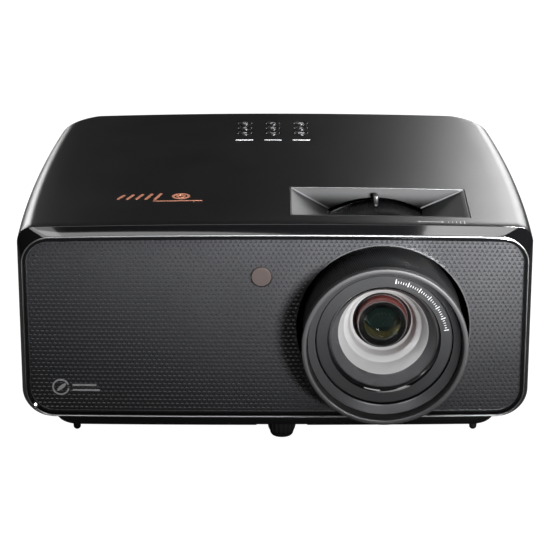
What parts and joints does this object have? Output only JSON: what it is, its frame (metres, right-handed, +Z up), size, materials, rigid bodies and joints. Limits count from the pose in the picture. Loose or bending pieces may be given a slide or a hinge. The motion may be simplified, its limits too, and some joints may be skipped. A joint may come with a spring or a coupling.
{
  "type": "home projector",
  "caption": "Rounded black home projector with a proud manual zoom and focus lens, a keypad on top, side grilles, a rear socket panel and screw feet.",
  "frame": {"origin": "on the surface that it stands on, under the middle of the bounding box", "axes": "+Z up; the lens faces -Y; +X is to the right seen from the front"},
  "size_m": [0.337, 0.298, 0.1589],
  "materials": {
    "satin_black": "satin moulded plastic with a fine grain",
    "gloss_black": "piano black gloss plastic",
    "charcoal": "charcoal plastic with a fine raised pattern",
    "dark_plastic": "dark moulded plastic",
    "receiver": "smoked infra-red window",
    "white_light": "milky light pipe",
    "silver": "bright anodised stepped cone",
    "trim_grey": "grey anodised ring",
    "glass": "coated optical glass",
    "aluminium": "bare aluminium",
    "black_metal": "black filled moulding",
    "circuit_green": "green solder mask",
    "fan_black": "black fan plastic",
    "rubber": "black rubber",
    "steel": "pressed steel shell",
    "phosphor": "yellow phosphor on a metal disc"
  },
  "bodies": {
    "root": {"top_cover": "satin_black", "bottom_case": "satin_black", "front_bezel": "gloss_black", "front_panel": "charcoal", "receiver_window": "receiver", "zoom_tray": "dark_plastic", "side_grille_left": "dark_plastic", "side_grille_right": "dark_plastic", "rear_panel": "dark_plastic", "front_bumper_left": "rubber", "front_bumper_right": "rubber", "keypad_board": "circuit_green", "status_light_pipe": "white_light", "lens_shroud": "rubber", "lens_barrel": "black_metal", "lens_mount": "aluminium", "optical_engine": "black_metal", "imaging_chip_heatsink": "aluminium", "laser_module": "black_metal", "laser_heatsink": "aluminium", "phosphor_housing": "black_metal", "main_board": "circuit_green", "power_board": "circuit_green", "ac_inlet": "black_metal", "hdmi_port_1": "steel", "hdmi_port_2": "steel", "usb_port": "steel", "lan_port": "black_metal", "serial_port": "steel", "audio_jack": "dark_plastic", "loudspeaker": "black_metal", "intake_fan_frame": "fan_black", "exhaust_fan_frame": "fan_black"},
    "focus": {"focus_ring": "black_metal"},
    "lens": {"lens_cell": "black_metal", "lens_trim_ring": "trim_grey", "lens_funnel": "silver", "front_lens": "glass"},
    "zoom": {"zoom_ring": "fan_black", "zoom_lever": "black_metal"},
    "zoom_group": {"zoom_cell": "black_metal", "zoom_lens": "glass"},
    "intake_rotor": {"intake_fan_rotor": "fan_black"},
    "exhaust_rotor": {"exhaust_fan_rotor": "fan_black"},
    "phosphor": {"phosphor_wheel": "phosphor"},
    "key_rear_left_body": {"key_rear_left": "satin_black"},
    "key_rear_centre_body": {"key_rear_centre": "satin_black"},
    "key_rear_right_body": {"key_rear_right": "satin_black"},
    "key_middle_left_body": {"key_middle_left": "satin_black"},
    "key_middle_centre_body": {"key_middle_centre": "satin_black"},
    "key_middle_right_body": {"key_middle_right": "satin_black"},
    "key_front_left_body": {"key_front_left": "satin_black"},
    "key_front_centre_body": {"key_front_centre": "satin_black"},
    "key_front_right_body": {"key_front_right": "satin_black"},
    "front_pad": {"front_foot_pad": "rubber"},
    "front_knob": {"front_foot_knob": "dark_plastic"},
    "rear_left_pad": {"rear_left_foot_pad": "rubber"},
    "rear_left_knob": {"rear_left_foot_knob": "dark_plastic"},
    "rear_right_pad": {"rear_right_foot_pad": "rubber"},
    "rear_right_knob": {"rear_right_foot_knob": "dark_plastic"}
  },
  "joints": [
    {"name": "focus_turn", "type": "hinge", "parent": "root", "child": "focus", "pos_m": [0.0708, -0.116, 0.0873], "axis": [0, 1, 0], "range_deg": [-60, 60]},
    {"name": "lens_slide", "type": "slide", "parent": "root", "child": "lens", "axis": [0, 1, 0], "range_m": [-0.0015, 0.0015]},
    {"name": "zoom_turn", "type": "hinge", "parent": "root", "child": "zoom", "pos_m": [0.0708, -0.116, 0.0873], "axis": [0, 1, 0], "range_deg": [-22, 22]},
    {"name": "zoom_slide", "type": "slide", "parent": "root", "child": "zoom_group", "axis": [0, 1, 0], "range_m": [-0.0045, 0.0045]},
    {"name": "intake_fan_spin", "type": "hinge", "parent": "root", "child": "intake_rotor", "pos_m": [0.1478, -0.004, 0.092], "axis": [1, 0, 0], "continuous": true},
    {"name": "exhaust_fan_spin", "type": "hinge", "parent": "root", "child": "exhaust_rotor", "pos_m": [-0.1478, 0.044, 0.092], "axis": [1, 0, 0], "continuous": true},
    {"name": "phosphor_spin", "type": "hinge", "parent": "root", "child": "phosphor", "pos_m": [-0.01, -0.005, 0.081], "axis": [1, 0, 0], "continuous": true},
    {"name": "key_rear_left_press", "type": "slide", "parent": "root", "child": "key_rear_left_body", "axis": [0, 0, -1], "range_m": [0, 0.0005], "stiffness_N_per_m": 600, "springref_m": -0.0008},
    {"name": "key_rear_centre_press", "type": "slide", "parent": "root", "child": "key_rear_centre_body", "axis": [0, 0, -1], "range_m": [0, 0.0005], "stiffness_N_per_m": 600, "springref_m": -0.0008},
    {"name": "key_rear_right_press", "type": "slide", "parent": "root", "child": "key_rear_right_body", "axis": [0, 0, -1], "range_m": [0, 0.0005], "stiffness_N_per_m": 600, "springref_m": -0.0008},
    {"name": "key_middle_left_press", "type": "slide", "parent": "root", "child": "key_middle_left_body", "axis": [0, 0, -1], "range_m": [0, 0.0005], "stiffness_N_per_m": 600, "springref_m": -0.0008},
    {"name": "key_middle_centre_press", "type": "slide", "parent": "root", "child": "key_middle_centre_body", "axis": [0, 0, -1], "range_m": [0, 0.0005], "stiffness_N_per_m": 600, "springref_m": -0.0008},
    {"name": "key_middle_right_press", "type": "slide", "parent": "root", "child": "key_middle_right_body", "axis": [0, 0, -1], "range_m": [0, 0.0005], "stiffness_N_per_m": 600, "springref_m": -0.0008},
    {"name": "key_front_left_press", "type": "slide", "parent": "root", "child": "key_front_left_body", "axis": [0, 0, -1], "range_m": [0, 0.0005], "stiffness_N_per_m": 600, "springref_m": -0.0008},
    {"name": "key_front_centre_press", "type": "slide", "parent": "root", "child": "key_front_centre_body", "axis": [0, 0, -1], "range_m": [0, 0.0005], "stiffness_N_per_m": 600, "springref_m": -0.0008},
    {"name": "key_front_right_press", "type": "slide", "parent": "root", "child": "key_front_right_body", "axis": [0, 0, -1], "range_m": [0, 0.0005], "stiffness_N_per_m": 600, "springref_m": -0.0008},
    {"name": "front_foot_travel", "type": "slide", "parent": "root", "child": "front_pad", "axis": [0, 0, -1], "range_m": [0, 0.0081]},
    {"name": "front_foot_turn", "type": "hinge", "parent": "front_pad", "child": "front_knob", "pos_m": [0.0046, -0.086, 0.01], "axis": [0, 0, 1], "range_deg": [0, 1440]},
    {"name": "rear_left_foot_travel", "type": "slide", "parent": "root", "child": "rear_left_pad", "axis": [0, 0, -1], "range_m": [0, 0.0081]},
    {"name": "rear_left_foot_turn", "type": "hinge", "parent": "rear_left_pad", "child": "rear_left_knob", "pos_m": [-0.12, 0.099, 0.01], "axis": [0, 0, 1], "range_deg": [0, 1440]},
    {"name": "rear_right_foot_travel", "type": "slide", "parent": "root", "child": "rear_right_pad", "axis": [0, 0, -1], "range_m": [0, 0.0081]},
    {"name": "rear_right_foot_turn", "type": "hinge", "parent": "rear_right_pad", "child": "rear_right_knob", "pos_m": [0.12, 0.099, 0.01], "axis": [0, 0, 1], "range_deg": [0, 1440]}
  ],
  "couplings": [
    {"joint": "lens_slide", "follows": "focus_turn", "m_per_rad": 0.00125},
    {"joint": "zoom_slide", "follows": "zoom_turn", "m_per_rad": 0.0105},
    {"joint": "front_foot_travel", "follows": "front_foot_turn", "m_per_rad": 0.000318},
    {"joint": "rear_left_foot_travel", "follows": "rear_left_foot_turn", "m_per_rad": 0.000318},
    {"joint": "rear_right_foot_travel", "follows": "rear_right_foot_turn", "m_per_rad": 0.000318}
  ]
}
